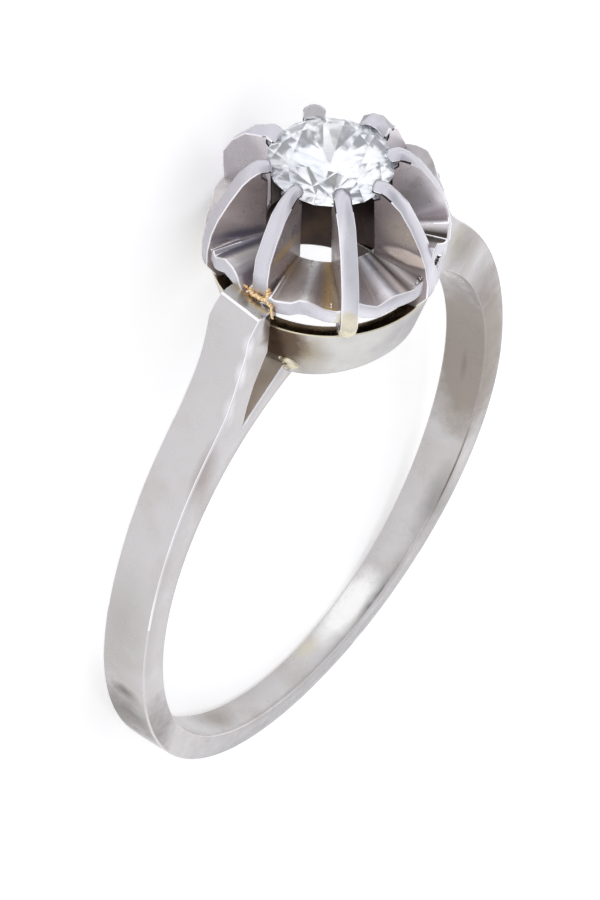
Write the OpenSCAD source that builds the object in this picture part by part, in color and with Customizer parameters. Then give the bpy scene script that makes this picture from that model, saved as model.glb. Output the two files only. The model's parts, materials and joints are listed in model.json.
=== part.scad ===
// Diamond solitaire ring in white gold. The shapes are drawn upright, in millimetres, with the centre
// of the finger hole at the origin, the finger along Y and the stone up along Z. lay_down() then turns
// every node onto its side, the way a dropped ring comes to rest.

/* [Band] */
// Radius of the finger hole
finger_r = 8.5; // [8.4:0.02:8.6]
// Outer radius of the lower half of the band
band_r = 9.49; // [9.4:0.01:9.6]
// How far the centre of the outer curve sits above the finger hole's
band_lift = 0.1; // [0:0.02:0.2]
// Width of the band at its sides and shoulders
band_w = 1.64; // [1.5:0.02:1.8]
// Width of the band at the bottom, under the finger
bottom_w = 0.98; // [0.8:0.02:1.2]
// Radius of the long curve from the side of the band up to the neck of the shoulder
flank_r = 11.8; // [11.6:0.1:12]
// Angle that this long curve sweeps
flank_sweep = 43; // [42.5:0.5:43.5]
// Radius of the hollow curve at the neck of the shoulder
neck_r = 5.84; // [5.7:0.02:5.9]

/* [Split shoulder] */
// Height of the flat top of the shoulder
shoulder_z = 11.75; // [11.7:0.01:11.85]
// Chamfer along the sides of the flat top
shoulder_chamfer = 0.09; // [0.04:0.01:0.14]
// Where the filed bevel on the outer edge of the flat top starts, as a distance from the middle
bevel_x = 4.58; // [4.5:0.01:4.7]
// How far the bevel is turned, so that it widens toward one side of the band
bevel_turn = 18; // [10:1:20]
// Steepness of the bevel, in degrees from the flat top
bevel_slope = 52; // [45:1:60]
// How far the flat top reaches in toward the middle, into the claws and the rim
shoulder_in = 3.5; // [3.4:0.02:3.56]
// Tip of the fork between the two branches: distance from the middle, then height
fork_tip = [4.95, 7.6];
// First bend on the inner side of the outer branch
fork_low = [4.73, 8.4];
// Second bend on the inner side of the outer branch
fork_mid = [4.45, 9.09];
// Elbow where the outer branch turns upright
fork_elbow = [3.84, 10.06];
// Top of the fork, where the outer branch meets its claw
fork_top = [3.74, 11.4];
// Radius of the top of the inner branch, seen from the side
inner_branch_r = 7.59; // [7.55:0.01:7.65]
// Height of the centre of that curve
inner_branch_z = 1.84; // [1.8:0.01:1.88]

/* [Collar] */
// Height of the collar's flat top
collar_z = 10.79; // [10.7:0.01:10.85]
// Outer radius of the collar at its top
collar_r = 3.57; // [3.5:0.01:3.62]
// How fast the outside narrows downward, as a slope
collar_taper = 0.28; // [0.24:0.01:0.32]
// Thickness of the collar at its top
collar_wall = 0.46; // [0.4:0.02:0.54]
// How fast the opening narrows downward, as a slope
collar_bore_taper = 0.21; // [0.16:0.01:0.24]
// Radius of the arch that the collar's lower edge follows around the finger
collar_arch_r = 8.8; // [8.7:0.02:8.9]

/* [Claws] */
// Directions of the claws' feet, in degrees from +X. They were set by eye, so they aren't even.
claw_feet = [0, 47, 92, 142, 183, 228, 274, 316];
// Directions of the claws' tips. Where they differ from the feet's, the claw leans sideways.
claw_tips = [-5, 52, 97, 140, 182, 228, 269, 315];
// Thickness of a claw
claw_t = 0.55; // [0.4:0.01:0.6]
// Largest radius of a claw, just above its foot
claw_r = 3.85; // [3.8:0.01:3.9]
// Height of that widest point
claw_wide_z = 11.3; // [11.2:0.02:11.4]
// Length of the upright part above it
claw_belly = 0.6; // [0.5:0.02:0.7]
// Bends of the outer edge from there up to the crest, each as a radius and a height
claw_bends = [[3.73, 12.55], [3.5, 13.15], [3.15, 13.8], [2.75, 14.4], [2.42, 14.8], [2.2, 14.96]];
// Radius at which a claw is highest
claw_crest_r = 2.04; // [2:0.01:2.1]
// Radius of the inner edge of a claw's foot, under the plate
claw_foot_r = 3.2; // [3.16:0.01:3.24]
// Radius of the claw's inner edge, under the stone
claw_in_r = 1.8; // [1.76:0.01:1.82]
// Height of the claw tips
claw_tip_z = 15.02; // [15:0.01:15.08]
// How far the tips reach in over the stone, as a radius
claw_tip_r = 1.68; // [1.6:0.02:1.74]
// Rounding at the end of a tip
tip_round = 0.1; // [0.06:0.01:0.11]

/* [Pleated plate] */
// Radius of the open middle of the plate
plate_hole_r = 1.87; // [1.86:0.01:1.9]
// Height of the plate around the open middle
plate_z = 12.3; // [12.25:0.01:12.4]
// Thickness of the plate around the open middle
plate_t = 0.3; // [0.2:0.02:0.4]
// Outer radius of the rim
rim_r = 3.72; // [3.7:0.01:3.76]
// Height of the rim beside a claw
rim_z = 12.02; // [11.95:0.01:12.1]
// Thickness of the rim
rim_t = 0.5; // [0.45:0.01:0.6]
// How much the rim rises in the middle between two claws
rim_arch = 0.26; // [0.1:0.02:0.3]
// Depth of the folds at the rim
pleat_depth = 0.08; // [0.04:0.02:0.14]
// How far the rim steps in at every second fold
pleat_in = 0.05; // [0:0.02:0.1]
// Flat faces of the fan between two claws, an even number
pleats = 6; // [4:2:8]

/* [Diamond] */
// Radius of the girdle
stone_r = 1.957; // [1.95:0.001:1.96]
// Height of the middle of the girdle
girdle_z = 14.66; // [14.65:0.01:14.67]
// Thickness of the girdle
girdle_t = 0.06; // [0.04:0.01:0.08]
// Height of the crown above the girdle
crown_h = 0.56; // [0.52:0.02:0.6]
// Depth of the pavilion under the girdle
pavilion_h = 1.66; // [1.6:0.02:1.7]
// Radius of the table's corners
table_r = 1.12; // [1.06:0.02:1.16]
// How far the small lower facets reach from the girdle toward the point, as a share
lower_share = 0.77; // [0.7:0.01:0.8]
// Gap between the stone and the claws that hold it
seat_gap = 0.03; // [0.02:0.01:0.04]

/* [Hidden] */
// Steps on a full circle
$fn = 180;
// Overshoot of a cutting shape past the face that it opens
over = 1;
// Depth by which soldered parts run into one another, and a step that keeps two faces apart
weld = 0.2;
sink = 0.04;
half_w = band_w / 2;
half_bottom = bottom_w / 2;
half_claw = claw_t / 2;
bottom_z = band_lift - band_r;
// Radius of the curve that narrows the band toward the bottom
narrowing = half_w - half_bottom;
narrowing_r = (pow(bottom_z, 2) + pow(narrowing, 2)) / (2 * narrowing);
// Centre of the flank curve, and the point where the neck curve takes over
flank_x = flank_r - band_r;
neck_x = flank_r * cos(flank_sweep) - flank_x;
neck_z = flank_r * sin(flank_sweep);
// Centre of the neck curve
neck_cx = neck_x + neck_r * cos(flank_sweep);
neck_cz = neck_z + neck_r * sin(flank_sweep);
claw_count = len(claw_feet);
fold_count = claw_count * pleats;
// Radius at which the direction of a claw's tip is counted
tip_r = 2;
girdle_top = girdle_z + girdle_t / 2;
girdle_low = girdle_z - girdle_t / 2;
crown_top = girdle_top + crown_h;
point_z = girdle_low - pavilion_h;
// The table under the ring is touched by a corner of the claw that faces it, number 2, and by the edge
// at the bottom of the band. Leaning the ring by this angle brings both to the same height.
down = 90;
low_claw = 2;
low_foot = claw_feet[low_claw] - down;
touch_y = claw_r * cos(low_foot) + half_claw * sin(abs(claw_slant(low_claw)) - low_foot);
lean = atan((touch_y - half_bottom) / (claw_wide_z - bottom_z));
lowest = claw_wide_z * sin(lean) - touch_y * cos(lean);
// The two ends of the ring along its length, once it leans
far_end = crown_top * cos(lean) + table_r * sin(lean);
near_end = bottom_z * cos(lean) - half_bottom * sin(lean);

// How far a claw's plane is turned about its foot to carry its tip to the tip's direction
function claw_slant(i) =
    let (off = claw_tips[i] - claw_feet[i])
        -atan2(tip_r * sin(off), claw_r - tip_r * cos(off));

// Turns the upright ring onto its side: stone toward +Y, lowest point at z = 0.
module lay_down() {
    translate([0, -(far_end + near_end) / 2, -lowest])
        rotate([lean - 90, 0, 0])
            children();
}

// Stands a drawing of the side view upright and gives it a depth along the finger.
module along_finger(depth) {
    rotate([90, 0, 0])
        linear_extrude(height = depth, center = true)
            children();
}

// One flank of the side view, as a large circle pushed past the middle.
module flank(side) {
    translate([side * flank_x, 0])
        circle(r = flank_r);
}

// Side view of the band: round below, two longer curves up the flanks, two hollow necks.
module side_outline() {
    intersection() {
        translate([0, band_lift])
            circle(r = band_r);
        translate([-band_r - over, bottom_z - over])
            square([2 * (band_r + over), band_r + over]);
    }
    intersection() {
        flank(1);
        flank(-1);
        translate([-band_r - over, 0])
            square([2 * (band_r + over), neck_z]);
    }
    difference() {
        translate([-neck_x, neck_z - weld])
            square([2 * neck_x, shoulder_z - neck_z + weld]);
        for (side = [-1, 1])
            translate([side * neck_cx, neck_cz])
                circle(r = neck_r);
    }
}

// One side of the band seen from its edge, as a very large circle pushed past the middle.
module narrowing_curve(side) {
    translate([side * (half_w - narrowing_r), 0])
        circle(r = narrowing_r);
}

// View of the band from its edge: even width above the middle, narrowing on a long curve below,
// small chamfers along the flat top.
module edge_outline() {
    intersection() {
        narrowing_curve(1);
        narrowing_curve(-1);
        translate([-half_w, bottom_z - over])
            square([band_w, over - bottom_z]);
    }
    polygon([
        [-half_w, 0], [half_w, 0],
        [half_w, shoulder_z - shoulder_chamfer], [half_w - shoulder_chamfer, shoulder_z],
        [shoulder_chamfer - half_w, shoulder_z], [-half_w, shoulder_z - shoulder_chamfer]
    ]);
}

// Side view of everything that is open between the outer branches, above the inner ones.
module fork_opening() {
    side_a = [fork_tip, fork_low, fork_mid, fork_elbow, fork_top];
    difference() {
        polygon(concat(
            side_a,
            [[shoulder_in, fork_top[1]], [shoulder_in, shoulder_z + over]],
            [[-shoulder_in, shoulder_z + over], [-shoulder_in, fork_top[1]]],
            [for (i = [4:-1:0]) [-side_a[i][0], side_a[i][1]]]
        ));
        translate([0, inner_branch_z])
            circle(r = inner_branch_r);
    }
}

// The tapered opening through the collar. It also ends the inner branches.
module collar_opening() {
    depth = collar_z - finger_r + 2 * over;
    top_r = collar_r - collar_wall + over * collar_bore_taper;
    translate([0, 0, collar_z + over - depth])
        cylinder(h = depth, r1 = top_r - depth * collar_bore_taper, r2 = top_r);
}

// Block that files the outer edge of a flat top away at a slant, so the bevel widens toward +Y.
module shoulder_file() {
    translate([bevel_x, -half_w, shoulder_z + shoulder_chamfer / 2])
        rotate([0, 0, bevel_turn])
            rotate([0, bevel_slope, 0])
                translate([-band_w, -band_w, 0])
                    cube([2 * band_w, 4 * band_w, band_w]);
}

// Flat band whose shoulders split into an outer and an inner branch.
module band() {
    color("silver")
        difference() {
            intersection() {
                along_finger(band_w + over) side_outline();
                rotate([90, 0, 90])
                    linear_extrude(height = 2 * (band_r + over), center = true)
                        edge_outline();
            }
            rotate([90, 0, 0])
                cylinder(h = band_w + over, r = finger_r, center = true);
            along_finger(band_w + over) fork_opening();
            collar_opening();
            shoulder_file();
            mirror([1, 0, 0]) shoulder_file();
        }
}

// Tapered tube between the branches, arched below to clear the finger.
module collar() {
    depth = collar_z - finger_r + over / 2;
    color("gainsboro")
        difference() {
            translate([0, 0, collar_z - depth])
                cylinder(h = depth, r1 = collar_r - depth * collar_taper, r2 = collar_r);
            collar_opening();
            rotate([90, 0, 0])
                cylinder(h = 3 * collar_r, r = collar_arch_r, center = true);
        }
}

// A claw from the side, as radius and height: foot sunk into the collar, belly, bends, tip over the
// girdle, straight inner edge, and a lower edge hidden inside the plate.
module claw_outline() {
    polygon(concat(
        [[claw_foot_r, collar_z - weld], [collar_r - weld / 2, collar_z - weld]],
        [[collar_r - sink, collar_z + sink], [claw_r, claw_wide_z], [claw_r, claw_wide_z + claw_belly]],
        claw_bends,
        [[claw_crest_r, claw_tip_z], [claw_tip_r + tip_round, claw_tip_z - tip_round / 3]],
        [[claw_tip_r, claw_tip_z - tip_round - sink], [claw_in_r, girdle_low - tip_round]],
        [[claw_in_r, plate_z - plate_t / 2], [claw_foot_r, rim_z - rim_t / 2]]
    ));
}

// Eight upright fins, each rounded where it bows in over the stone and leaning a little sideways.
module claws() {
    color("white")
        for (i = [0:claw_count - 1])
            rotate([0, 0, claw_feet[i]])
                translate([claw_r, 0, 0])
                rotate([0, 0, claw_slant(i)])
                translate([-claw_r, 0, 0])
                intersection() {
                    rotate([90, 0, 0])
                        linear_extrude(height = claw_t, center = true)
                            claw_outline();
                    translate([0, 0, collar_z - over])
                        linear_extrude(height = claw_tip_z - collar_z + 2 * over) {
                            translate([claw_tip_r + half_claw, 0])
                                circle(r = half_claw);
                            translate([claw_tip_r + half_claw, -half_claw])
                                square([claw_r, claw_t]);
                        }
                }
}

// Position of a fold in its window of the fan, 0 at one claw and 1 at the next, then its direction,
// its radius and height at the rim, and a corner in that direction.
function place(i) = (i % pleats) / pleats;
function fold_turn(i) =
    let (k = floor(i / pleats), next = k + 1 < claw_count ? claw_feet[k + 1] : claw_feet[0] + 360)
        claw_feet[k] + (next - claw_feet[k]) * place(i);
function rim_out(i) = rim_r - (i % 2) * pleat_in;
function rim_height(i) = rim_z + rim_arch * sin(180 * place(i)) + (i % 2) * pleat_depth;
function around(i, r, z) = [r * cos(fold_turn(i)), r * sin(fold_turn(i)), z];

// Fan-folded plate between the claws: four rings of corners, at the hole and at the rim, above and
// below. The folds grow from nothing at the hole to their full depth at the rim.
module plate() {
    n = fold_count;
    hole_low = plate_z - plate_t;
    rings = [
        for (i = [0:n - 1]) around(i, plate_hole_r, plate_z),
        for (i = [0:n - 1]) around(i, rim_out(i), rim_height(i)),
        for (i = [0:n - 1]) around(i, rim_out(i), rim_height(i) - rim_t),
        for (i = [0:n - 1]) around(i, plate_hole_r, hole_low)
    ];
    color("lightgray")
        polyhedron(rings, [
            for (ring = [0:3]) for (i = [0:n - 1])
                let (a = ring * n, b = ((ring + 1) % 4) * n, j = (i + 1) % n)
                    each i % 2 == 0
                        ? [[a + i, b + j, b + i], [a + i, a + j, b + j]]
                        : [[a + i, a + j, b + i], [a + j, b + j, b + i]]
        ]);
}

// The stone's own profile grown by the gap, which cuts the seat out of the claws.
module seat() {
    rotate_extrude()
        polygon([
            [0, point_z - 2 * seat_gap], [stone_r + seat_gap, girdle_low - seat_gap],
            [stone_r + seat_gap, girdle_top + seat_gap / 2],
            [table_r, crown_top + seat_gap], [0, crown_top + seat_gap]
        ]);
}

// Everything that is soldered into one piece of metal.
module band_and_setting() {
    lay_down()
        difference() {
            union() {
                band();
                collar();
                claws();
                plate();
            }
            seat();
        }
}

// Corners of the stone: k counts sixteenths of a turn.
half_step = 360 / 16;
function stone_corner(k, r, z) = [r * cos(k * half_step), r * sin(k * half_step), z];

// Round brilliant: a table, eight kites, eight stars and sixteen small facets above the girdle,
// eight long kites and sixteen halves below it. Each kite is flat because its side corners are put on
// the plane through its two end corners.
module diamond() {
    crown_slope = crown_h / (stone_r - table_r);
    star_r = (table_r * cos(half_step) + stone_r) / 2;
    star_z = crown_top - (star_r * cos(half_step) - table_r) * crown_slope;
    low_r = stone_r * (1 - lower_share);
    low_z = point_z + low_r * cos(half_step) * pavilion_h / stone_r;
    corners = [
        for (k = [0:7]) stone_corner(2 * k, table_r, crown_top),
        for (k = [0:7]) stone_corner(2 * k + 1, star_r, star_z),
        for (k = [0:15]) stone_corner(k, stone_r, girdle_top),
        for (k = [0:15]) stone_corner(k, stone_r, girdle_low),
        for (k = [0:7]) stone_corner(2 * k + 1, low_r, low_z),
        [0, 0, point_z]
    ];
    star = 8;
    upper = 16;
    lower = 32;
    low = 48;
    point = 56;
    color("lightblue")
        lay_down()
            polyhedron(corners, concat(
                [[for (k = [7:-1:0]) k]],
                [for (k = [0:7]) [k, (k + 1) % 8, star + k]],
                [for (k = [0:7]) [k, star + k, upper + 2 * k, star + (k + 7) % 8]],
                [for (k = [0:7]) [star + k, upper + 2 * k + 1, upper + 2 * k]],
                [for (k = [0:7]) [star + k, upper + (2 * k + 2) % 16, upper + 2 * k + 1]],
                [for (k = [0:15]) [upper + k, upper + (k + 1) % 16, lower + (k + 1) % 16, lower + k]],
                [for (k = [0:7]) [low + k, lower + 2 * k, lower + 2 * k + 1]],
                [for (k = [0:7]) [low + k, lower + 2 * k + 1, lower + (2 * k + 2) % 16]],
                [for (k = [0:7]) [point, low + (k + 7) % 8, lower + 2 * k, low + k]]
            ));
}

band_and_setting();
diamond();
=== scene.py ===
# %% [markdown]
# # A diamond solitaire ring
# The ring is white gold: a flat band whose shoulders split into two branches, a tapered collar, eight
# claws and a fan-folded plate between them. The imported solids fix every size. Here each part is built
# again with soft edges, solder, tarnish and painted light and shade, and then it is lit and a camera
# is placed.

import json
import math
import random

import bmesh
import bpy
from mathutils import Matrix, Vector


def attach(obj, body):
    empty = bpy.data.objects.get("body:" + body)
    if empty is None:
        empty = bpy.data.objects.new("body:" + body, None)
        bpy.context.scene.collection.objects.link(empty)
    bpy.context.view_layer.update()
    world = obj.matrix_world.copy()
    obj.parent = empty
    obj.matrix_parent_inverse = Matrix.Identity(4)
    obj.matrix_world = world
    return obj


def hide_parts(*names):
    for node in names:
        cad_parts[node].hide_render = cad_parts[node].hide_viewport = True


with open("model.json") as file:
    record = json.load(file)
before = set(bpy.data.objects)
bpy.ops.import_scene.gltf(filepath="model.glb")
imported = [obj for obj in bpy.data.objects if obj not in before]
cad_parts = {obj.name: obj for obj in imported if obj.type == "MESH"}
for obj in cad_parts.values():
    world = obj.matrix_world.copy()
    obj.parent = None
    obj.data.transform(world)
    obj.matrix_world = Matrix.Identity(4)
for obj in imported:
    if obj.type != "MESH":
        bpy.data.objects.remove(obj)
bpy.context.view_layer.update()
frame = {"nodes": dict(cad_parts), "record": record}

# %% [markdown]
# A ring is easiest to draw upright, in millimetres: the finger goes through along Y, the stone is up
# along Z, and the middle of the finger hole is the origin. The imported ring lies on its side, though.
# The record's finger hole tells where its middle is and which way it points, so one matrix lays down
# whatever is drawn upright, and turns millimetres into metres.

# %% From upright millimetres to the ring as it lies
MM = 0.001
hole = next(m for m in frame["record"]["mounts"] if m["name"] == "finger_hole")
finger_way = -Vector(hole["axis"]).normalized()
side_way = Vector((1, 0, 0))
stone_way = side_way.cross(finger_way)
turn = Matrix((side_way, finger_way, stone_way)).transposed().to_4x4()
LAY = Matrix.Translation(Vector(hole["pos_m"])) @ turn @ Matrix.Scale(MM, 4)
print("stone points to", [round(c, 3) for c in stone_way])

# %% [markdown]
# Every part of the setting goes through the same last steps: merge what touches, point the faces
# outward, lay it down, and hand it to the frame. Weighted normals keep flat faces flat beside their
# small rounded edges, which is what makes metal look milled and not inflated.

# %% The last steps of a metal part
# Points closer than this, in upright millimetres, become one.
TOUCHING = 1e-5


def hand_over(bm, name, finishes):
    """Makes the mesh a part of the ring. Each face's material_index picks one of the finishes."""
    bmesh.ops.remove_doubles(bm, verts=bm.verts, dist=TOUCHING)
    bmesh.ops.recalc_face_normals(bm, faces=bm.faces)
    bmesh.ops.transform(bm, matrix=LAY, verts=bm.verts)
    mesh = bpy.data.meshes.new(name)
    bm.to_mesh(mesh)
    bm.free()
    part = bpy.data.objects.new(name, mesh)
    bpy.context.scene.collection.objects.link(part)
    for finish in finishes:
        mesh.materials.append(finish)
    mesh.shade_smooth()
    part.modifiers.new("even light", "WEIGHTED_NORMAL").keep_sharp = True
    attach(part, "root")
    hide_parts("band_and_setting")
    print(f"{name}: {len(mesh.polygons)} faces, finishes {[m.name for m in mesh.materials]}")


def soften(bm, width, steps, angle):
    """Rounds every edge whose two faces meet at more than that angle, and returns the new faces."""
    folded = [e for e in bm.edges if len(e.link_faces) == 2]
    sharp = [e for e in folded if math.degrees(e.calc_face_angle(0)) > angle]
    return bmesh.ops.bevel(
        bm, geom=sharp, offset=width, offset_type="OFFSET", segments=steps, profile=0.5,
        affect="EDGES", clamp_overlap=True, material=-1,
    )["faces"]


# %% [markdown]
# White gold is a metal with a warm grey colour. It is never evenly clean: it tarnishes brown where a
# cloth can't reach, and it shows fine brushing where it was filed. One recipe makes every finish of
# this ring, and each part turns its knobs. The recipe is put together from a few small steps, each of
# which adds one or two nodes and returns the socket that the next step plugs into.

# %% Small steps of the recipe


def moved(tree, source, place, turned, size):
    """Coordinates counted from a place, along turned axes, in units of size."""
    node = tree.nodes.new("ShaderNodeMapping")
    node.vector_type = "TEXTURE"
    node.inputs["Location"].default_value = place
    node.inputs["Rotation"].default_value = turned
    node.inputs["Scale"].default_value = size
    tree.links.new(source, node.inputs["Vector"])
    return node.outputs["Vector"]


def noise(tree, source, scale, detail, stretch=(1, 1, 1)):
    """Cloudy values round 0.5. A stretch above 1 draws the clouds out along that axis."""
    node = tree.nodes.new("ShaderNodeTexNoise")
    node.inputs["Scale"].default_value = scale
    node.inputs["Detail"].default_value = detail
    node.inputs["Roughness"].default_value = 0.6
    tree.links.new(moved(tree, source, (0, 0, 0), (0, 0, 0), stretch), node.inputs["Vector"])
    return node.outputs["Fac"]


def rescale(tree, source, low, high, to_low=0.0, to_high=1.0):
    """Stretches the values between low and high to a new span, and cuts off what lies outside."""
    node = tree.nodes.new("ShaderNodeMapRange")
    for key, value in zip(("From Min", "From Max", "To Min", "To Max"), (low, high, to_low, to_high)):
        node.inputs[key].default_value = value
    tree.links.new(source, node.inputs["Value"])
    return node.outputs["Result"]


def blend_colour(tree, share, first, second):
    """first where share is 0, second where it is 1. Each is a socket or a plain colour."""
    node = tree.nodes.new("ShaderNodeMix")
    node.data_type = "RGBA"
    tree.links.new(share, node.inputs["Factor"])
    for key, colour in (("A", first), ("B", second)):
        if isinstance(colour, tuple):
            node.inputs[key].default_value = (*colour, 1)
        else:
            tree.links.new(colour, node.inputs[key])
    return node.outputs["Result"]


def stain_and_light_share(tree, upright, wobble, centre, size, strength, soft):
    """1 inside an ellipsoid of that size, in millimetres, fading to 0 at its ragged edge."""
    length = tree.nodes.new("ShaderNodeVectorMath")
    length.operation = "LENGTH"
    tree.links.new(moved(tree, upright, centre, (0, 0, 0), size), length.inputs[0])
    ragged = tree.nodes.new("ShaderNodeMath")
    ragged.operation = "ADD"
    tree.links.new(length.outputs["Value"], ragged.inputs[0])
    tree.links.new(wobble, ragged.inputs[1])
    return rescale(tree, ragged.outputs["Value"], 1.0, 1.0 - soft, 0.0, strength)


def tones_around(tree, upright, tones):
    """Colours that change around the stone. tones holds pairs of degrees and a colour."""
    way = tree.nodes.new("ShaderNodeTexGradient")
    way.gradient_type = "RADIAL"
    tree.links.new(upright, way.inputs["Vector"])
    ramp = tree.nodes.new("ShaderNodeValToRGB")
    # The radial gradient begins at 180 degrees.
    for k, (degrees, tone) in enumerate(sorted(((d + 180) % 360, t) for d, t in tones)):
        stops = ramp.color_ramp.elements
        stop = stops[k] if k < 2 else stops.new(degrees / 360)
        stop.position, stop.color = degrees / 360, (*tone, 1)
    tree.links.new(way.outputs["Fac"], ramp.inputs["Fac"])
    return ramp.outputs["Color"]


# %% [markdown]
# Now the steps are put in order. A Mapping node turns Object coordinates back into the upright ring's
# millimetres, so a patch of colour can be given a place and a size just as a solid can. Then come the
# clouds of tarnish, the patches, which hold tarnish, solder and painted light and shade, a sheen that
# is a little uneven, and the faint relief of the brushing.

# %% The recipe for worn white gold
# Patterns, each as its scale, in clouds to a millimetre, and the detail in them.
TARNISH_CLOUDS, EDGE_CLOUDS, SHEEN_CLOUDS, BRUSH_LINES = (0.5, 2.5), (1.8, 3), (1.5, 2), (12, 2)
# Cloud values where tarnish begins and where it is full. More spots bring both down.
TARNISH_BEGINS, TARNISH_FULL, SPOTS_WEIGHT = 0.62, 0.94, 0.3
# Nearly all cloud values lie between these two.
CLOUD_LOW, CLOUD_HIGH = 0.3, 0.7
EDGE_WOBBLE = 0.08
DULLEST, SHINIEST = 1.3, 0.7
BRUSH_RELIEF = 0.02 * MM


def white_gold(
    name, clean, tarnish, spots, shine, brush=(1, 1, 12), depth=0.03, metal=1.0, stain_and_lights=(), tones=(),
):
    """One finish: two colours of metal, how spotted and rough it is, its brushing, and its patches of
    tarnish, solder and painted light and shade.
    """
    mat = bpy.data.materials.new(name)
    mat.use_nodes = True
    tree = mat.node_tree
    skin = tree.nodes["Principled BSDF"]
    skin.inputs["Metallic"].default_value = metal
    place = tree.nodes.new("ShaderNodeTexCoord")
    upright = moved(tree, place.outputs["Object"], hole["pos_m"], turn.to_euler(), (MM, MM, MM))

    begins, full = TARNISH_BEGINS - SPOTS_WEIGHT * spots, TARNISH_FULL - SPOTS_WEIGHT * spots
    clouds = rescale(tree, noise(tree, upright, *TARNISH_CLOUDS), begins, full)
    colour = blend_colour(tree, clouds, tones_around(tree, upright, tones) if tones else clean, tarnish)
    ragged = noise(tree, upright, *EDGE_CLOUDS)
    wobble = rescale(tree, ragged, CLOUD_LOW, CLOUD_HIGH, -EDGE_WOBBLE, EDGE_WOBBLE)
    # Each patch, whether tarnish, solder or painted light and shade, is mixed over the colour.
    for centre, size, stain_and_light, strength, soft in stain_and_lights:
        share = stain_and_light_share(tree, upright, wobble, centre, size, strength, soft)
        colour = blend_colour(tree, share, colour, stain_and_light)
    tree.links.new(colour, skin.inputs["Base Color"])

    sheen = noise(tree, upright, *SHEEN_CLOUDS)
    rough = rescale(tree, sheen, CLOUD_LOW, CLOUD_HIGH, shine * SHINIEST, shine * DULLEST)
    tree.links.new(rough, skin.inputs["Roughness"])

    bump = tree.nodes.new("ShaderNodeBump")
    bump.inputs["Strength"].default_value = depth
    bump.inputs["Distance"].default_value = BRUSH_RELIEF
    tree.links.new(noise(tree, upright, *BRUSH_LINES, brush), bump.inputs["Height"])
    tree.links.new(bump.outputs["Normal"], skin.inputs["Normal"])
    return mat


# %% [markdown]
# Edges stay bright, because they are what gets rubbed, and a painted highlight makes them brighter
# still. Hollows are painted nearly black, as painted shade. So a part has several finishes: one for
# its open faces, a brighter one for its rounded edges, and a dark one of painted shade for its hidden
# faces. Patches come on top, each with a centre and a size in upright millimetres, a colour, a strength
# and the softness of its edge: tarnish and solder, and painted light and shade.

# %% The finishes of the band
WARM_GREY, OLIVE = (0.545, 0.53, 0.53), (0.60, 0.595, 0.55)
# The nearly black colour is painted shade, for deep hollows and dark folds.
DEEP_SHADE, GOLD, CREAM = (0.055, 0.040, 0.034), (0.55, 0.38, 0.17), (0.66, 0.61, 0.47)

band_metal = white_gold(
    "band_metal", WARM_GREY, (0.47, 0.435, 0.42), spots=0.42, shine=0.24, brush=(1, 1, 14), depth=0.05,
    stain_and_lights=[
        # the left side, outside, and its front near the fork
        ((-9.3, 0.2, 1.6), (1.2, 1.6, 3.2), (0.42, 0.40, 0.385), 0.8, 0.9),
        ((-8.9, 0.2, -3.5), (1.8, 1.7, 2.7), (0.13, 0.105, 0.095), 0.95, 0.6),
        ((-9.4, 0.0, -1.3), (0.5, 0.6, 0.4), (0.08, 0.07, 0.06), 0.7, 0.9),
        ((-6.9, -0.82, 7.2), (0.9, 0.3, 2.0), (0.38, 0.33, 0.32), 0.85, 0.8),
        # the right side, inside, with two dark streaks that are painted reflections
        ((8.4, -0.3, 0.4), (1.6, 2.0, 4.4), (0.31, 0.275, 0.245), 1.0, 0.4),
        ((7.8, -0.3, 3.8), (1.4, 1.6, 1.8), (0.24, 0.205, 0.195), 0.85, 0.8),
        ((8.5, -0.05, -0.6), (0.4, 0.16, 0.9), (0.19, 0.155, 0.135), 0.45, 0.9),
        ((7.5, -0.62, 3.9), (0.9, 0.14, 1.2), (0.17, 0.14, 0.125), 0.6, 0.9),
        # the front of the right shoulder
        ((6.15, -0.82, 5.95), (0.9, 0.3, 0.45), (0.62, 0.61, 0.68), 0.9, 0.6),
        ((6.2, -0.82, 7.3), (0.45, 0.3, 0.9), (0.47, 0.43, 0.30), 0.6, 0.9),
        ((6.6, -0.5, 6.7), (1.3, 1.0, 1.9), (0.31, 0.28, 0.25), 0.9, 0.7),
        # the left outer branch: an end in painted shade, then three painted highlights along its worn
        # edge
        ((-3.5, -0.82, 10.9), (0.42, 0.4, 1.3), (0.38, 0.33, 0.30), 0.8, 0.9),
        ((-4.76, -0.82, 10.95), (0.26, 0.3, 0.6), (0.80, 0.79, 0.82), 0.85, 0.9),
        ((-5.10, -0.82, 10.05), (0.26, 0.3, 0.7), (0.80, 0.79, 0.82), 0.85, 0.9),
        ((-5.62, -0.82, 8.95), (0.3, 0.3, 0.8), (0.74, 0.73, 0.75), 0.8, 0.9),
        # the bottom: its front, then a painted highlight, the brown and the yellow inside it
        ((6.6, -0.6, -5.2), (1.4, 0.6, 2.2), (0.31, 0.295, 0.29), 0.9, 0.8),
        ((0.0, -0.95, -8.6), (9.5, 0.6, 4.8), (0.30, 0.295, 0.30), 0.9, 0.5),
        ((2.9, 0.1, -7.9), (2.5, 0.75, 0.9), (0.92, 0.92, 0.90), 0.9, 0.5),
        ((-4.3, 0.2, -7.3), (1.5, 0.8, 0.9), (0.31, 0.27, 0.24), 0.8, 0.8),
        ((0.9, 0.3, -8.45), (0.7, 0.45, 0.5), CREAM, 0.6, 0.8),
    ],
)
facet_metal = white_gold(
    "facet_metal", OLIVE, (0.47, 0.46, 0.40), spots=0.4, shine=0.34,
    stain_and_lights=[
        ((-3.62, 0.2, 11.8), (0.34, 1.2, 0.5), GOLD, 0.7, 0.9),
        ((3.62, 0.2, 11.8), (0.34, 1.2, 0.5), GOLD, 0.6, 0.9),
    ],
)
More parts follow.
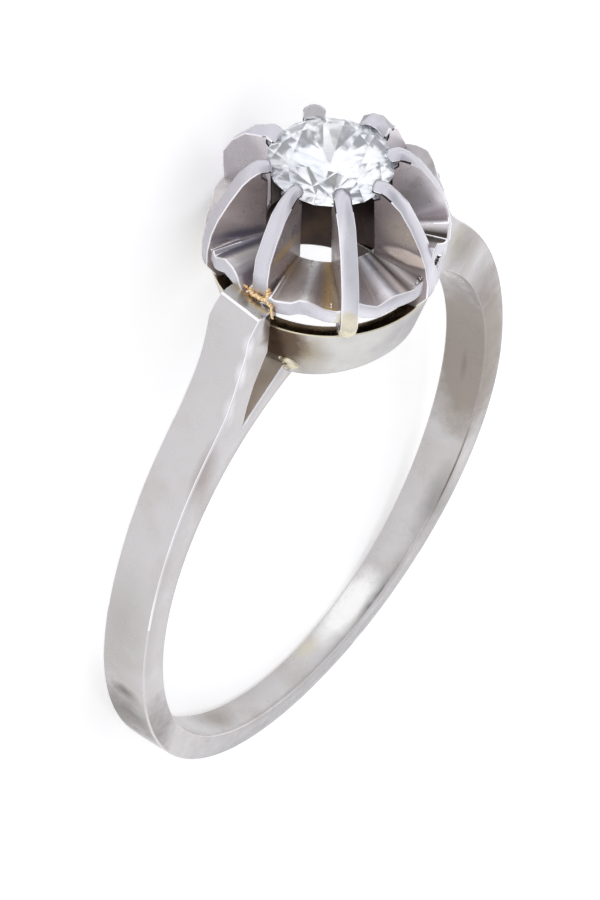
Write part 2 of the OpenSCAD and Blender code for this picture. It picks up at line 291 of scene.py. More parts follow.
fork_metal = white_gold(
    "fork_metal", (0.66, 0.58, 0.50), (0.36, 0.29, 0.23), spots=0.55, shine=0.4, metal=0.4,
    stain_and_lights=[
        ((-3.9, 0.0, 9.6), (0.7, 1.2, 0.5), (0.42, 0.33, 0.20), 0.8, 0.8),
        # painted shade deep in the right fork
        ((2.9, 0.5, 8.8), (1.2, 1.6, 0.9), DEEP_SHADE, 0.95, 0.5),
    ],
)
soft_edge_metal = white_gold(
    "soft_edge_metal", (0.64, 0.61, 0.60), (0.52, 0.48, 0.46), spots=0.4, shine=0.25,
    stain_and_lights=[
        ((7.6, -0.8, 2.0), (2.4, 0.6, 8.0), (0.34, 0.31, 0.29), 0.9, 0.5),
        ((7.4, -0.8, -5.4), (1.6, 0.5, 3.0), (0.22, 0.19, 0.17), 0.9, 0.6),
    ],
)
# The rounded edges: rubbed metal, made brighter by a painted highlight.
edge_metal = white_gold("edge_metal", (0.88, 0.865, 0.89), (0.64, 0.61, 0.61), spots=0.42, shine=0.14)
print("finishes of the band:", [m.name for m in bpy.data.materials])

# %% [markdown]
# The setting is older in its looks than the band, because a cloth slides over its claws and misses the
# rest, and much of its darkness is painted shade. Its collar is browned by soldering and carries
# painted shade where the left branch hides it, the insides are painted nearly black as shade, and the
# flanks of the claws and the folds of the plate only count as half metal, as a thin film of grime takes
# off their shine. The patches on those flanks and folds are partly tarnish and partly painted light and
# shade.

# %% The finishes of the setting
LAVENDER, MAUVE, SLATE = (0.60, 0.59, 0.64), (0.33, 0.285, 0.285), (0.24, 0.235, 0.28)
BROWN, PEACH = (0.22, 0.17, 0.13), (0.95, 0.82, 0.74)
PALE, BRIGHT = (0.72, 0.69, 0.68), (0.88, 0.86, 0.91)

collar_metal = white_gold(
    "collar_metal", (0.62, 0.61, 0.59), (0.50, 0.47, 0.42), spots=0.4, shine=0.36,
    brush=(1, 1, 16), depth=0.2,
    stain_and_lights=[
        ((-2.85, -1.45, 9.8), (1.0, 1.0, 1.4), (0.36, 0.30, 0.21), 0.9, 0.8),
        # painted shade where the left outer branch hides the collar
        ((-3.45, -0.6, 10.2), (1.4, 1.25, 1.8), (0.16, 0.11, 0.075), 1.0, 0.35),
        ((0.4, -3.2, 9.8), (2.1, 1.3, 1.5), (0.35, 0.335, 0.35), 0.95, 0.8),
        ((2.9, -1.2, 9.9), (0.9, 1.1, 1.9), BROWN, 0.5, 0.9),
    ],
)
# The top of the collar, under the plate: brown from soldering, and darkened as painted shade.
brown_metal = white_gold("brown_metal", (0.14, 0.10, 0.065), (0.45, 0.30, 0.15), spots=0.5, shine=0.25)
# Nearly black: painted shade for faces deep in hollows.
shade_metal = white_gold("shade_metal", (0.035, 0.026, 0.024), (0.10, 0.065, 0.04), spots=0.4, shine=0.36)
claw_metal = white_gold(
    "claw_metal", LAVENDER, (0.49, 0.455, 0.475), spots=0.25, shine=0.32,
    stain_and_lights=[
        # the two front claws, brighter
        ((-2.2, -2.6, 12.8), (1.3, 1.3, 3.4), (0.76, 0.75, 0.80), 0.9, 0.4),
        ((0.4, -3.3, 12.9), (1.0, 1.5, 3.0), (0.72, 0.71, 0.76), 0.9, 0.4),
        # the claws behind the stone, greyer
        ((-2.6, 1.9, 13.4), (1.3, 1.3, 2.6), (0.52, 0.50, 0.535), 0.85, 0.5),
        ((1.5, 1.8, 14.9), (1.2, 1.2, 0.7), (0.40, 0.39, 0.40), 0.85, 0.5),
        ((2.9, -0.2, 14.6), (1.4, 0.9, 1.0), (0.42, 0.40, 0.41), 0.8, 0.6),
        # solder at two feet
        ((-2.6, -2.8, 11.3), (0.5, 0.5, 0.85), CREAM, 0.9, 0.3),
        ((-3.6, 0.0, 11.2), (0.6, 0.8, 0.5), GOLD, 0.6, 0.8),
    ],
)
pale_fin_metal = white_gold(
    "pale_fin_metal", (0.82, 0.78, 0.82), (0.54, 0.50, 0.51), spots=0.35, shine=0.32, metal=0.65,
    stain_and_lights=[
        ((0, 0, 12.4), (4.2, 4.2, 0.9), MAUVE, 0.7, 0.9),
        ((-0.2, 3.0, 13.3), (1.3, 1.6, 2.4), (0.46, 0.43, 0.45), 0.9, 0.5),
    ],
)
fin_metal = white_gold(
    "fin_metal", (0.42, 0.365, 0.365), (0.28, 0.225, 0.215), spots=0.4, shine=0.3, metal=0.55,
    stain_and_lights=[
        # painted shade and dark reflection close to the stone; then tones on the flanks in the windows,
        # partly tarnish and partly painted light and shade; last a peach patch of painted reflection
        # over a dark one
        ((0, 0, 13.2), (2.2, 2.2, 1.6), DEEP_SHADE, 0.7, 0.5),
        ((0.1, -2.9, 13.6), (1.2, 0.95, 0.9), (0.80, 0.70, 0.58), 0.85, 0.9),
        ((-2.5, 2.0, 13.4), (1.2, 1.2, 1.1), (0.66, 0.575, 0.555), 0.85, 0.9),
        ((-2.2, 1.7, 12.4), (1.4, 1.4, 0.32), (0.15, 0.145, 0.19), 0.9, 0.7),
        ((-2.7, -0.4, 12.5), (1.1, 0.5, 0.6), (0.60, 0.52, 0.51), 0.8, 0.8),
        ((-2.6, -0.38, 13.15), (1.0, 0.5, 0.30), (0.62, 0.42, 0.19), 0.85, 0.8),
        ((0.05, -3.0, 12.70), (0.6, 1.3, 0.50), (0.17, 0.14, 0.13), 0.85, 0.5),
        ((0.05, -3.05, 12.70), (0.6, 1.0, 0.32), PEACH, 1.0, 0.25),
    ],
)
# The folds of the plate, each with its direction in degrees around the stone and its tone. The tones
# are mostly painted light and shade, for what each polished fold mirrors, with some tarnish among them.
FOLD_LIGHT_AND_SHADE = [
    (20, SLATE), (60, MAUVE), (110, PALE), (138, SLATE),
    (146, SLATE), (148, PALE), (149.5, SLATE), (156, SLATE), (161, PALE), (176, SLATE),
    (187, BROWN), (203, PALE), (208, PALE), (212, MAUVE), (218, GOLD), (223, BROWN),
    (232, SLATE), (243, MAUVE), (249, BRIGHT), (253, SLATE),
    (257, PALE), (260, DEEP_SHADE), (264, PALE), (269, DEEP_SHADE),
    (279, MAUVE), (288, DEEP_SHADE), (301.5, DEEP_SHADE), (303, PALE), (305, BRIGHT), (308, MAUVE), (316, PALE),
]
fan_metal = white_gold(
    "fan_metal", MAUVE, (0.34, 0.29, 0.285), spots=0.35, shine=0.32, metal=0.5, tones=FOLD_LIGHT_AND_SHADE,
    stain_and_lights=[((-2.4, -0.4, 12.2), (0.7, 0.6, 0.7), (0.30, 0.19, 0.09), 0.7, 0.9)],
)
solder_metal = white_gold("solder_metal", (0.93, 0.72, 0.42), (0.62, 0.30, 0.15), spots=0.5, shine=0.16)
pale_solder = white_gold("pale_solder", (0.74, 0.69, 0.54), (0.56, 0.47, 0.31), spots=0.5, shine=0.25)
print("all finishes:", [m.name for m in bpy.data.materials])

# %% [markdown]
# The band was rolled flat, bent round a rod and sawn open at its ends, so that each shoulder parts into
# two branches. Seen from the side, its outer outline is made of arcs: a circle below, a flatter and
# longer curve up each flank, and the hollow curve of the neck. A few small functions say how far out
# the outline lies at any angle, and how wide the band is at any height.

# %% The band's outline
FINGER_R = 8.5
BAND_R, BAND_LIFT = 9.49, 0.1
FLANK_R, FLANK_SWEEP = 11.8, math.radians(43)
NECK_R = 5.84
HALF_SIDE, HALF_BOTTOM = 0.82, 0.49
FORK_TIP = (4.95, 7.6)
BRANCH_R, BRANCH_Z = 7.59, 1.84

flank_x = FLANK_R - BAND_R
neck_x = FLANK_R * math.cos(FLANK_SWEEP) - flank_x + NECK_R * math.cos(FLANK_SWEEP)
neck_z = (FLANK_R + NECK_R) * math.sin(FLANK_SWEEP)
bottom_z = BAND_LIFT - BAND_R


def ray_to_circle(angle, cx, cz, r, far=True):
    """Distance from the middle of the finger hole, at that angle, to a circle of the side view."""
    along = cx * math.cos(angle) + cz * math.sin(angle)
    reach = math.sqrt(max(0.0, along * along - cx * cx - cz * cz + r * r))
    return along + reach if far else along - reach


def outside(angle):
    """Distance to the band's outer outline: round below, a longer curve above, then the hollow neck."""
    if angle < 0:
        return ray_to_circle(angle, 0, BAND_LIFT, BAND_R)
    flank = ray_to_circle(angle, -flank_x, 0, FLANK_R)
    if flank * math.sin(angle) < FLANK_R * math.sin(FLANK_SWEEP):
        return flank
    return ray_to_circle(angle, neck_x, neck_z, NECK_R, far=False)


def half_width(z):
    """Half the band's width: even above the middle, narrowing on a long curve to the bottom."""
    narrowing = HALF_SIDE - HALF_BOTTOM
    r = (bottom_z**2 + narrowing**2) / (2 * narrowing)
    return HALF_SIDE if z > 0 else HALF_SIDE - r + math.sqrt(r * r - z * z)


fork_angle = math.atan2(FORK_TIP[1], FORK_TIP[0])
fork_r = math.hypot(*FORK_TIP)
print(f"the saw cut begins at {math.degrees(fork_angle):.1f} degrees, {fork_r:.2f} mm out")

# %% [markdown]
# The band is made as the real one was bent: a small cross-section at the bottom is spun a quarter turn
# and more, up to the point where the saw cut begins. Then each point of it moves out to the band's real
# outline. The section is two quads, one above the other, because the saw cut will part them.

# %% Spin the band
# Three rows of points, from the finger outward, and the distances that tell the rows apart.
SECTION = (FINGER_R, 9.0, 9.4)
BELOW_MIDDLE, ABOVE_MIDDLE = 8.8, 9.2
SPIN_STEPS = 56
# At the bottom, the line between the two quads lies this share of the way out.
MIDDLE_SHARE = 0.45

bm = bmesh.new()
start = [bm.verts.new((0, y, -r)) for r in SECTION for y in (-1, 1)]
for quad in ((0, 1, 3, 2), (2, 3, 5, 4)):
    bm.faces.new([start[i] for i in quad])
bmesh.ops.spin(
    bm, geom=bm.faces[:] + bm.edges[:] + bm.verts[:], cent=(0, 0, 0), axis=(0, -1, 0), dvec=(0, 0, 0),
    angle=fork_angle + math.pi / 2, steps=SPIN_STEPS, use_merge=False, use_duplicate=False,
)
bm.normal_update()
for v in bm.verts:
    angle, r = math.atan2(v.co.z, v.co.x), math.hypot(v.co.x, v.co.z)
    share = (angle + math.pi / 2) / (fork_angle + math.pi / 2)
    out = outside(angle)
    middle = FINGER_R + (fork_r - FINGER_R) * share + MIDDLE_SHARE * (out - FINGER_R) * (1 - share)
    r = FINGER_R if r < BELOW_MIDDLE else middle if r < ABOVE_MIDDLE else out
    z = r * math.sin(angle)
    v.co = (r * math.cos(angle), math.copysign(half_width(z), v.co.y), z)
print("spun band:", len(bm.faces), "faces")

# %% [markdown]
# The upper quad of the end face is pulled on into the outer branch, which stands up and ends in the
# flat top, and the lower one follows the finger to the collar. Each pull is an extrude of the end face,
# whose four corners then go to their places. The outer branch was filed by eye, so its front and back
# edges differ a little.

# %% Pull the two branches
# The outer branch from the fork up, in millimetres: front edge, back edge, inner front edge and inner
# back edge, each as x and z.
OUTER_BRANCH = [
    ((5.56, 9.15), (5.44, 9.22), (4.73, 8.40), (4.73, 8.40)),
    ((5.33, 9.72), (5.16, 9.78), (4.45, 9.09), (4.45, 9.09)),
    ((5.10, 10.24), (4.97, 10.30), (4.13, 9.60), (4.13, 9.60)),
    ((4.94, 10.72), (4.86, 10.78), (3.84, 10.06), (3.84, 10.06)),
    ((4.86, 11.08), (4.80, 11.08), (3.80, 10.70), (3.80, 10.70)),
    ((4.82, 11.22), (4.76, 11.30), (3.80, 11.10), (3.72, 11.10)),
    ((4.64, 11.44), (4.48, 11.60), (3.80, 11.38), (3.60, 11.45)),
    ((4.36, 11.74), (4.15, 11.78), (3.78, 11.68), (3.50, 11.76)),
]
# The inner branch ends inside the collar, at this angle, and sags by this much between its ends.
BRANCH_END, BRANCH_SAG, BRANCH_PULLS = math.radians(73.5), 0.09, 5
BEYOND_BAND = 12
ANGLE_SLACK = 1e-3


def end_face(bm, angle, low, high):
    """The face across the band at that angle whose middle lies between those two distances."""
    for f in bm.faces:
        c = f.calc_center_median()
        flat = all(abs(math.atan2(v.co.z, v.co.x) - angle) < ANGLE_SLACK for v in f.verts)
        if flat and low < math.hypot(c.x, c.z) < high:
            return f


def pull(bm, face, outer, inner):
    """Extrudes the face. outer and inner each say where a front and a back corner go, as x and z."""
    centre = face.calc_center_median()
    new = bmesh.ops.extrude_face_region(bm, geom=[face])["geom"]
    if face.is_valid:
        bmesh.ops.delete(bm, geom=[face], context="FACES_ONLY")
    face = next(g for g in new if isinstance(g, bmesh.types.BMFace))
    for v in face.verts:
        is_outer = math.hypot(v.co.x, v.co.z) > math.hypot(centre.x, centre.z)
        front, back = outer if is_outer else inner
        x, z = front if v.co.y < 0 else back
        v.co = (x, math.copysign(HALF_SIDE, v.co.y), z)
    return face


upper = end_face(bm, fork_angle, fork_r, BEYOND_BAND)
lower = end_face(bm, fork_angle, FINGER_R, fork_r)
for front, back, inner_front, inner_back in OUTER_BRANCH:
    upper = pull(bm, upper, (front, back), (inner_front, inner_back))
for k in range(1, BRANCH_PULLS + 1):
    angle = fork_angle + (BRANCH_END - fork_angle) * k / BRANCH_PULLS
    sag = BRANCH_SAG * math.sin(math.pi * k / BRANCH_PULLS)
    top = ray_to_circle(angle, 0, BRANCH_Z, BRANCH_R) - sag
    above, below = ((r * math.cos(angle), r * math.sin(angle)) for r in (top, FINGER_R))
    lower = pull(bm, lower, (above, above), (below, below))
print("half a band with its branches:", len(bm.faces), "faces")

# %% [markdown]
# So far there is half a band. The face at its bottom would become a wall inside the metal, so it goes
# first, and a mirror makes the other half. The faces then get their finishes. A face's normal says
# which way it looks: its z is near 1 on the flat top of a shoulder, and its y is near 0 inside the
# fork. The softened edges are dull by the finger and low on the band, and elsewhere bright: rubbed,
# and painted with a highlight.

# %% Mirror the band and give it its finishes
SHOULDER_TOP = 11.6
LEFT_BRIGHT_ABOVE, RIGHT_BRIGHT_ABOVE = 2.0, 9
# How near to the finger or to the inner branch a face counts as on it.
AT_FINGER, AT_BRANCH = 0.1, 0.05
# The order of the finishes, as hand_over gets them.
# Rounded edges high on the band get the bright finish: rubbed, with a painted highlight.
OPEN, BRIGHT_EDGE, FACET, FORK, SOFT_EDGE = range(5)

bottom_wall = [f for f in bm.faces if all(abs(v.co.x) < TOUCHING for v in f.verts)]
bmesh.ops.delete(bm, geom=bottom_wall, context="FACES_ONLY")
half = bm.verts[:] + bm.edges[:] + bm.faces[:]
bmesh.ops.mirror(bm, geom=half, matrix=Matrix(), merge_dist=1e-4, axis="X")
bmesh.ops.recalc_face_normals(bm, faces=bm.faces)
for f in bm.faces:
    c = f.calc_center_median()
    angle, r = math.atan2(c.z, abs(c.x)), math.hypot(c.x, c.z)
    outward = f.normal.x * c.x + f.normal.z * c.z > 0
    branch_r = ray_to_circle(angle, 0, BRANCH_Z, BRANCH_R)
    in_fork = r < branch_r + AT_BRANCH if outward else r > FINGER_R + AT_FINGER
    if c.z > SHOULDER_TOP and f.normal.z > 0.8:
        f.material_index = FACET
    elif angle > fork_angle and abs(f.normal.y) < 0.5 and in_fork:
        f.material_index = FORK
    else:
        f.material_index = OPEN
for f in soften(bm, width=0.05, steps=3, angle=30):
    c = f.calc_center_median()
    at_finger = math.hypot(c.x, c.z) < FINGER_R + AT_FINGER
    low = c.z < LEFT_BRIGHT_ABOVE or c.x > 0 and c.z < RIGHT_BRIGHT_ABOVE
    f.material_index = SOFT_EDGE if at_finger or low else BRIGHT_EDGE
hand_over(bm, "band", [band_metal, edge_metal, facet_metal, fork_metal, soft_edge_metal])

# %% [markdown]
# The collar is a short tapered tube. A lathe would make it, so its wall is one small four-cornered
# profile spun all the way round. Its lower edge was filed to clear the finger: each low point goes to
# a circle around the finger's axis. The wall tapers too, so that point is found in a few rounds.

# %% Turn the collar
COLLAR_Z, COLLAR_R, COLLAR_WALL = 10.79, 3.57, 0.46
COLLAR_TAPER, BORE_TAPER = 0.28, 0.21
COLLAR_BLANK_Z = 8.5
ARCH_R, ARCH_ROUNDS = 8.8, 4
COLLAR_STEPS = 144
AT_EDGE = 0.1
# The bore takes the nearly black finish of painted shade, and the top, under the plate, the brown of
# tarnish and painted shade.
WALL, INSIDE, SOLDERED_EDGE, TOP = range(4)


def collar_radius(z, inner):
    """Radius of the tapered wall at that height: of its bore if inner, else of its outside."""
    below = COLLAR_Z - z
    if inner:
        return COLLAR_R - COLLAR_WALL - below * BORE_TAPER
    return COLLAR_R - below * COLLAR_TAPER


bm = bmesh.new()
corners = ((COLLAR_Z, False), (COLLAR_BLANK_Z, False), (COLLAR_BLANK_Z, True), (COLLAR_Z, True))
ring = [bm.verts.new((collar_radius(z, inner), 0, z)) for z, inner in corners]
edges = [bm.edges.new((ring[i], ring[(i + 1) % len(ring)])) for i in range(len(ring))]
bmesh.ops.spin(
    bm, geom=ring + edges, cent=(0, 0, 0), axis=(0, 0, 1), dvec=(0, 0, 0),
    angle=2 * math.pi, steps=COLLAR_STEPS, use_merge=True, use_duplicate=False,
)
for v in bm.verts:
    if v.co.z < COLLAR_BLANK_Z + AT_EDGE:
        way = math.atan2(v.co.y, v.co.x)
        inner = math.hypot(v.co.x, v.co.y) < collar_radius(COLLAR_BLANK_Z, False) - AT_EDGE
        z = ARCH_R
        for _ in range(ARCH_ROUNDS):
            z = math.sqrt(ARCH_R**2 - (collar_radius(z, inner) * math.cos(way)) ** 2)
        r = collar_radius(z, inner)
        v.co = (r * math.cos(way), r * math.sin(way), z)
bmesh.ops.recalc_face_normals(bm, faces=bm.faces)
for f in bm.faces:
    c = f.calc_center_median()
    if f.normal.z > 0.9:
        f.material_index = TOP
    elif f.normal.dot(Vector((c.x, c.y, 0))) < -0.5:
        f.material_index = INSIDE
for f in soften(bm, width=0.045, steps=2, angle=40):
    f.material_index = SOLDERED_EDGE if f.calc_center_median().z > COLLAR_Z - AT_EDGE else WALL
hand_over(bm, "collar", [collar_metal, shade_metal, pale_solder, brown_metal])

# %% [markdown]
# A claw is a fin of sheet metal, sawn to one outline and soldered upright to the collar. Its outer edge
# bows out, then in over the stone, and a notch under the tip holds the girdle. The outline is drawn
# once as radius and height, and extruded to the fin's thickness. Its narrow faces are cut in four, so
# that they can be domed later.

# %% Saw out a claw
CLAW_T = 0.55
CLAW_OUTLINE = [
    (3.2, 10.59), (3.47, 10.59), (3.53, 10.83), (3.85, 11.3), (3.85, 11.9), (3.73, 12.55), (3.5, 13.15),
    (3.15, 13.8), (2.75, 14.4), (2.42, 14.8), (2.2, 14.96), (2.04, 15.02), (1.78, 14.99), (1.68, 14.92),
    (1.99, 14.72), (1.99, 14.6), (1.8, 14.44), (1.94, 12.12), (3.2, 11.77),
]
SEAT_Z = 14
# Rounded edges out on a claw are rubbed and carry a painted highlight; hidden faces take the nearly
# black finish of painted shade.
OUTER, RUBBED_AND_HIGHLIT, FLANK, HIDDEN = range(4)


def sawn_claw():
    """One claw that stands along X, with its thickness along Y."""
    bm = bmesh.new()
    sheet = bm.faces.new([bm.verts.new((r, -CLAW_T / 2, z)) for r, z in CLAW_OUTLINE])
    grown = bmesh.ops.extrude_face_region(bm, geom=[sheet], use_keep_orig=True)["geom"]
    far_side = [g for g in grown if isinstance(g, bmesh.types.BMVert)]
    bmesh.ops.translate(bm, vec=(0, CLAW_T, 0), verts=far_side)
    bmesh.ops.recalc_face_normals(bm, faces=bm.faces)
    for f in bm.faces:
        hidden = f.normal.x < -0.6 and f.calc_center_median().z < SEAT_Z
        f.material_index = FLANK if abs(f.normal.y) > 0.7 else HIDDEN if hidden else OUTER
    across = [e for e in bm.edges if abs(e.verts[0].co.y - e.verts[1].co.y) > CLAW_T / 2]
    bmesh.ops.subdivide_edges(bm, edges=across, cuts=3)
    return bm


print("a claw's outline has", len(CLAW_OUTLINE), "points")

# %% [markdown]
# No two claws were bent quite alike. Each has its own direction for the foot and for the tip, and the
# photo shows how far some bulge and how some tips were hammered wide. So each claw is sawn anew, its
# points are moved by how near they are to the tip, the waist or the foot, and it is turned into place.

# %% Bend and place the claws
FEET = [0, 44, 92, 142, 183, 228, 274, 316]
TIPS = [-5, 52, 97, 140, 182, 228, 269, 315]
CLAW_R, TIP_R = 3.85, 2.0
# How far each claw bulges beyond the outline, how wide its tip was hammered, how far the tip reaches
# and rises, and how far the foot was pulled in.
BULGE = [0.0, 0.0, 0.3, 0.05, 0.0, 0.0, 0.0, 0.0]
TIP_WIDTH = [1.75, 1.25, 1.15, 1.0, 0.9, 1.0, 1.0, 1.1]
TIP_REACH = [0.0, 0.0, 0.0, -0.2, 0.0, 0.2, 0.0, 0.0]
TIP_RISE = [0.16, 0.0, 0.05, 0.0, 0.0, 0.0, 0.0, 0.0]
FOOT_PULL = [0.0, 0.0, 0.2, 0.0, 0.25, 0.0, 0.0, 0.0]
# The tip is what lies above TIP_FROM_Z and inside TIP_FROM_R, and begins over a length of TIP_FADE.
TIP_FROM_Z, TIP_FROM_R, TIP_FADE = 14.3, 2.9, 0.6
WAIST_Z, TIP_Z, TIP_TOP_Z = 12.2, 15.0, 14.8
FOOT_FADE = 0.8
TIP_DOME, CROWN, CROWN_FROM_R = 0.2, 0.02, 2.1
# A claw is a little thinner at its inner edge.
INNER_THIN, INNER_R, THINNED = 0.82, 1.7, 1.6
# Rounded edges farther out than this, or up on the tip, are rubbed and painted with a highlight; the
# rest are painted shade.
RUBBED_AND_HIGHLIT_FROM_R = 2.3
# Camera-side claws have darker flanks: grime, painted shade and dark reflections. Counted from 0, as
# lists are.
GRIMY_AND_SHADED_CLAWS = (3, 4, 5, 6)


def clamped(share):
    return min(1.0, max(0.0, share))


for i, (foot, tip) in enumerate(zip(FEET, TIPS)):
    bm = sawn_claw()
    for v in bm.verts:
        up = clamped((v.co.z - WAIST_Z) / (TIP_Z - WAIST_Z))
        near_tip = clamped((TIP_FROM_R - v.co.x) / TIP_FADE) if v.co.z > TIP_FROM_Z else 0.0
        near_foot = clamped((WAIST_Z + FOOT_FADE - v.co.z) / FOOT_FADE)
        aside = (2 * v.co.y / CLAW_T) ** 2
        if v.co.z > TIP_TOP_Z:
            v.co.z -= TIP_DOME * near_tip * aside
        if v.co.x > CROWN_FROM_R:
            v.co.x += BULGE[i] * math.sin(math.pi * up) - CROWN * aside
        v.co.x -= TIP_REACH[i] * near_tip
        if v.co.z > TIP_TOP_Z:
            v.co.z += TIP_RISE[i] * near_tip
        v.co.x -= FOOT_PULL[i] * near_foot
        v.co.y *= 1 + (TIP_WIDTH[i] - 1) * near_tip
        if near_tip == 0:
            v.co.y *= INNER_THIN + (1 - INNER_THIN) * clamped((v.co.x - INNER_R) / THINNED)
    for f in soften(bm, width=0.06, steps=2, angle=50):
        c = f.calc_center_median()
        f.material_index = RUBBED_AND_HIGHLIT if c.x > RUBBED_AND_HIGHLIT_FROM_R or c.z > TIP_TOP_Z else HIDDEN
    off = math.radians(tip - foot)
    slant = -math.atan2(TIP_R * math.sin(off), CLAW_R - TIP_R * math.cos(off))
    to_foot = Matrix.Translation((CLAW_R, 0, 0))
    about_foot = to_foot @ Matrix.Rotation(slant, 4, "Z") @ to_foot.inverted()
    around_stone = Matrix.Rotation(math.radians(foot), 4, "Z")
    bmesh.ops.transform(bm, matrix=around_stone @ about_foot, verts=bm.verts)
    flank_metal = fin_metal if i in GRIMY_AND_SHADED_CLAWS else pale_fin_metal
    hand_over(bm, f"claw_{i + 1}", [claw_metal, edge_metal, flank_metal, shade_metal])

# %% [markdown]
# Under the stone lies a thin plate with an open middle, folded like a fan in each window between two
# claws. How the folds run is written down window by window, as the photo shows them, and one function
# reads the height of the fold in any direction from that list.

# %% The folds of the plate
# Folds of one window: place between the two claws, and height above or below the even plate at the rim.
FOLDS = [
    [(0.2, 0.1), (0.45, -0.06), (0.7, 0.12)],
    [(0.25, 0.08), (0.5, -0.08), (0.78, 0.1)],
    [(0.15, 0.12), (0.28, 0.1), (0.36, -0.25), (0.6, -0.28), (0.8, -0.1)],
    [
        (0.06, 0.08), (0.12, -0.08), (0.17, 0.1), (0.24, 0.0), (0.46, 0.42), (0.61, 0.38),
        (0.7, 0.2), (0.74, -0.1), (0.8, -0.42),
    ],
    [
        (0.07, -0.3), (0.15, 0.1), (0.2, 0.0), (0.38, 0.11), (0.47, 0.3), (0.55, 0.31),
        (0.66, 0.18), (0.75, 0.03), (0.86, -0.06),
    ],
    [
        (0.1, 0.2), (0.17, 0.08), (0.3, -0.1), (0.4, 0.03), (0.51, 0.1), (0.63, 0.01),
        (0.78, -0.11), (0.92, -0.03),
    ],
    [(0.08, 0.9), (0.16, 1.0), (0.38, 0.5), (0.6, 0.05), (0.74, 0.43), (0.9, 0.3)],
    [(0.12, 0.5), (0.2, 0.72), (0.37, 0.78), (0.49, 1.15), (0.6, 1.28), (0.78, 1.12), (0.93, 0.9)],
]
FOLD_AT_CLAW = [0.0, 0.0, 0.0, 0.0, -0.42, 0.0, 0.0, 0.2]
BANK_HEIGHT, BANK_WIDTH = 0.16, 0.2


def fold_height(angle):
    """Heights in that direction: of the folds at the rim, and of the bank against the nearest claw."""
    angle = (angle - FEET[0]) % 360
    for k, foot in enumerate(FEET):
        after = FEET[k + 1] if k + 1 < len(FEET) else FEET[0] + 360
        if foot <= angle <= after:
            place = (angle - foot) / (after - foot)
            marks = [(0, FOLD_AT_CLAW[k]), *FOLDS[k], (1, FOLD_AT_CLAW[(k + 1) % len(FEET)])]
            bank = BANK_HEIGHT * max(0.0, 1 - min(place, 1 - place) / BANK_WIDTH)
            for (start, rise), (end, next_rise) in zip(marks, marks[1:]):
                if start <= place <= end:
                    return rise + (next_rise - rise) * (place - start) / (end - start), bank
    return 0.0, 0.0


print("folds in each window:", [len(window) for window in FOLDS])

# %% [markdown]
# The plate starts as a flat washer: a thin closed profile, spun all the way round. Then every point
# goes up or down with the folds, which grow from nothing at the hole to their full depth at the rim,
# where the plate is also at its thickest.

# %% Fold the plate
PLATE_HOLE_R, PLATE_Z, PLATE_T = 1.87, 12.3, 0.3
RIM_R, RIM_Z, RIM_T = 3.72, 12.02, 0.5
WASHER_RINGS, WASHER_HALF_T = 4, 0.1
PLATE_STEPS = 360
# The underside of a steep fold lags behind its top by a share of its height, up to the most.
UNDER_LAG, MOST_LAG = 0.4, 0.15
BRIGHT_RIM_R = 3
# The underside takes the nearly black painted shade, and rounded edges out at the rim the bright finish
# with its painted highlight.
RIM, RIM_EDGE, FAN, UNDERSIDE = range(4)

bm = bmesh.new()
rings = [PLATE_HOLE_R + (RIM_R - PLATE_HOLE_R) * k / WASHER_RINGS for k in range(WASHER_RINGS + 1)]
section = [(r, 1) for r in rings] + [(r, -1) for r in reversed(rings)]
ring = [bm.verts.new((r, 0, side * WASHER_HALF_T)) for r, side in section]
edges = [bm.edges.new((ring[i], ring[(i + 1) % len(ring)])) for i in range(len(ring))]
bmesh.ops.spin(
    bm, geom=ring + edges, cent=(0, 0, 0), axis=(0, 0, 1), dvec=(0, 0, 0),
    angle=2 * math.pi, steps=PLATE_STEPS, use_merge=True, use_duplicate=False,
)
for v in bm.verts:
    direction = math.degrees(math.atan2(v.co.y, v.co.x))
    share = (math.hypot(v.co.x, v.co.y) - PLATE_HOLE_R) / (RIM_R - PLATE_HOLE_R)
    fold, bank = fold_height(direction)
    # The bank is highest halfway to the rim, where 4 * share * (1 - share) is 1.
    top = PLATE_Z + (RIM_Z - PLATE_Z) * share + fold * share + bank * 4 * share * (1 - share)
    thick = PLATE_T + (RIM_T - PLATE_T) * share
    lag = min(MOST_LAG, UNDER_LAG * fold * max(0.0, 1 - fold))
    v.co.z = top if v.co.z > 0 else top - thick - lag * share
bmesh.ops.recalc_face_normals(bm, faces=bm.faces)
for f in bm.faces:
    f.material_index = FAN if f.normal.z > 0.6 else UNDERSIDE if f.normal.z < -0.6 else RIM
for f in soften(bm, width=0.045, steps=2, angle=50):
    c = f.calc_center_median()
    f.material_index = RIM_EDGE if math.hypot(c.x, c.y) > BRIGHT_RIM_R else FAN
hand_over(bm, "pleated_plate", [claw_metal, edge_metal, fan_metal, shade_metal])

# %% [markdown]
# The parts are soldered together, and the solder shows. A drop of it is a squashed ball sunk halfway
# into the metal. Small drops in a row, each a little different and a little off the line, make a
# seam, and a fixed seed makes them fall the same way each time.

# %% How solder runs
rng = random.Random(5)
SMALLEST, LARGEST = 0.6, 1.4


def beads(name, finish, places):
    """Squashed balls, each given as its place, its three half sizes and its turn around the stone."""
    bm = bmesh.new()
    for place, size, degrees in places:
        turned = Matrix.Rotation(math.radians(degrees), 4, "Z")
        shape = Matrix.Translation(place) @ turned @ Matrix.Diagonal((*size, 1))
        bmesh.ops.create_icosphere(bm, subdivisions=2, radius=1, matrix=shape)
    hand_over(bm, name, [finish])


def seam(start, end, count, size, jitter):
    """Beads of uneven size in a row from start to end."""
    row = []
    for k in range(count):
        place = Vector(start).lerp(Vector(end), k / (count - 1))
        place += Vector([rng.uniform(-jitter, jitter) for _ in range(3)])
        sizes = [size * rng.uniform(SMALLEST, LARGEST) for _ in range(3)]
        row.append((place, sizes, rng.uniform(0, 180)))
    return row


